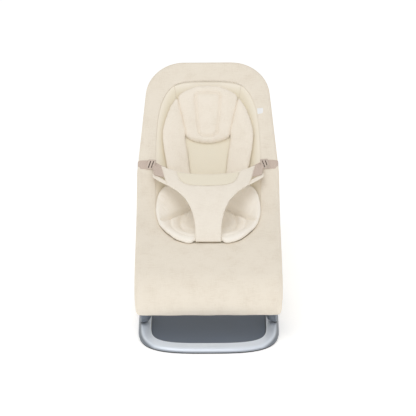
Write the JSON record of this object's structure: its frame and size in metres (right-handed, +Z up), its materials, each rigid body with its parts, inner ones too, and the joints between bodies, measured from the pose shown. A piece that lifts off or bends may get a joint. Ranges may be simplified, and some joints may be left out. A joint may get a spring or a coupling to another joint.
{
  "type": "baby bouncer seat",
  "caption": "Reclining baby bouncer with a fabric sling on a sprung tube frame, side hubs, low base, padded infant insert and bib harness.",
  "frame": {"origin": "on the floor, in the middle of the overall length and width", "axes": "+Z up, +Y from the foot end towards the head end, +X towards the right side when facing the foot end from the front"},
  "size_m": [0.4228, 0.7762, 0.5916],
  "materials": {
    "silver_metal": "satin",
    "slate_plastic": "satin",
    "graphite_plastic": "satin",
    "black_rubber": "matte",
    "steel": "satin",
    "cream_cotton": "matte",
    "cream_mesh": "matte",
    "quilted_cotton": "matte",
    "beige_webbing": "matte",
    "beige_plastic": "satin",
    "white_label": "matte"
  },
  "bodies": {
    "root": {"base_rim": "silver_metal", "foot_plate": "slate_plastic", "front_grip": "black_rubber", "plate_screw_1": "steel", "plate_screw_2": "steel", "plate_screw_3": "steel", "plate_screw_4": "steel", "rim_end_socket_left": "graphite_plastic", "rim_end_socket_right": "graphite_plastic", "rear_loop": "silver_metal", "rear_foot_left": "black_rubber", "rear_foot_right": "black_rubber", "hub_housing_left": "graphite_plastic", "hub_housing_right": "graphite_plastic", "hub_cover_left": "graphite_plastic", "hub_cover_right": "graphite_plastic", "pivot_bolt_left": "steel", "pivot_bolt_right": "steel"},
    "release_button_left": {"release_button_left": "slate_plastic"},
    "release_button_right": {"release_button_right": "slate_plastic"},
    "recline_arms": {"knuckle_left": "graphite_plastic", "knuckle_right": "graphite_plastic", "lower_arm_left": "silver_metal", "lower_arm_right": "silver_metal", "return_spring_left": "steel", "return_spring_right": "steel"},
    "lock_gear_left": {"lock_gear_left": "steel"},
    "lock_gear_right": {"lock_gear_right": "steel"},
    "seat": {"upper_frame_tube": "silver_metal", "front_crossbar": "steel", "seat_cover": "cream_cotton", "mesh_bucket": "cream_mesh", "side_tag": "white_label", "seat_pad": "quilted_cotton", "insert_wing_left": "quilted_cotton", "insert_wing_right": "quilted_cotton", "insert_mesh_panel": "cream_mesh", "head_pillow": "quilted_cotton", "strap_left": "beige_webbing", "strap_right": "beige_webbing", "strap_adjuster_left": "beige_plastic", "strap_adjuster_right": "beige_plastic"},
    "bib": {"bib": "quilted_cotton", "bib_keeper_left": "beige_webbing", "bib_keeper_right": "beige_webbing"}
  },
  "joints": [
    {"name": "recline", "type": "hinge", "parent": "root", "child": "recline_arms", "pos_m": [0, -0.216, 0.05], "axis": [1, 0, 0], "range_deg": [-34, 0]},
    {"name": "bounce", "type": "hinge", "parent": "recline_arms", "child": "seat", "pos_m": [0, -0.271, 0.1466], "axis": [1, 0, 0], "range_deg": [-4, 3], "stiffness_Nm_per_rad": 250, "springref_deg": 1.49},
    {"name": "harness_bib", "type": "hinge", "parent": "seat", "child": "bib", "pos_m": [0, -0.162, 0.257], "axis": [1, 0, 0], "range_deg": [0, 120]},
    {"name": "release_button_left", "type": "slide", "parent": "root", "child": "release_button_left", "axis": [1, 0, 0], "range_m": [0, 0.004], "stiffness_N_per_m": 500, "springref_m": -0.004},
    {"name": "lock_gear_left", "type": "slide", "parent": "recline_arms", "child": "lock_gear_left", "axis": [1, 0, 0], "range_m": [0, 0.004], "deforming": ["return_spring_left"]},
    {"name": "release_button_right", "type": "slide", "parent": "root", "child": "release_button_right", "axis": [-1, 0, 0], "range_m": [0, 0.004], "stiffness_N_per_m": 500, "springref_m": -0.004},
    {"name": "lock_gear_right", "type": "slide", "parent": "recline_arms", "child": "lock_gear_right", "axis": [-1, 0, 0], "range_m": [0, 0.004], "deforming": ["return_spring_right"]}
  ],
  "couplings": [
    {"joint": "lock_gear_left", "follows": "release_button_left", "ratio": 1},
    {"joint": "lock_gear_right", "follows": "release_button_right", "ratio": 1}
  ]
}
